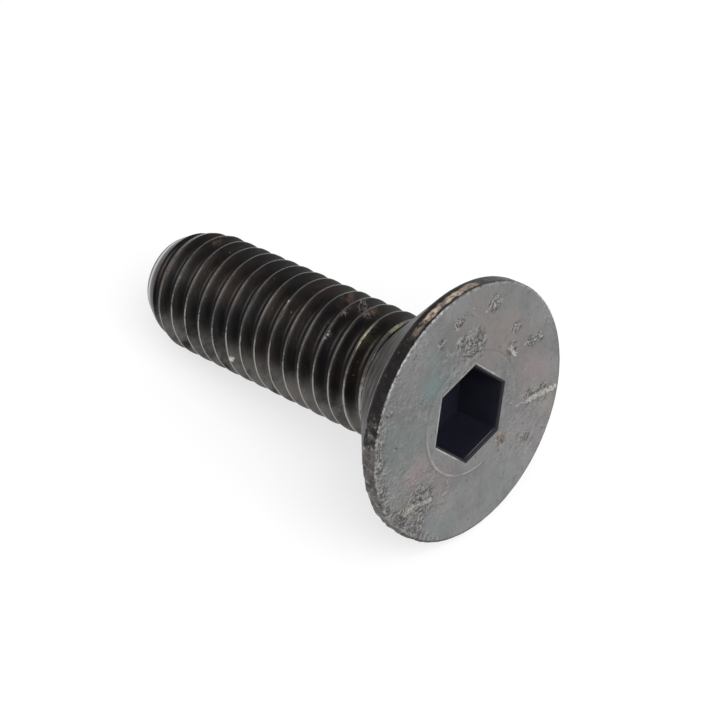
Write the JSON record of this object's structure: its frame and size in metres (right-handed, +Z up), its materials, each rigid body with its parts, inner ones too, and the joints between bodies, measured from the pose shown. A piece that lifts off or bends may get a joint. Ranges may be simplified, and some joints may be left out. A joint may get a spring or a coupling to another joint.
{
  "type": "countersunk socket screw",
  "caption": "Worn black steel screw with a flat countersunk head, a hexagon key socket and a full-length right-hand metric thread.",
  "frame": {"origin": "centre of the bounding box in plan, at the height of the surface that the screw lies on", "axes": "+X from the tip towards the head, along the floor under the screw's axis; +Z up; the axis rises towards the head by the tilt of the rest pose, in the XZ plane"},
  "size_m": [0.0266, 0.016, 0.0158],
  "materials": {
    "black_oxide_steel": "black oxide over steel, satin, with scratches, small chips and rust specks"
  },
  "bodies": {
    "root": {"countersunk_screw": "black_oxide_steel"}
  },
  "joints": []
}
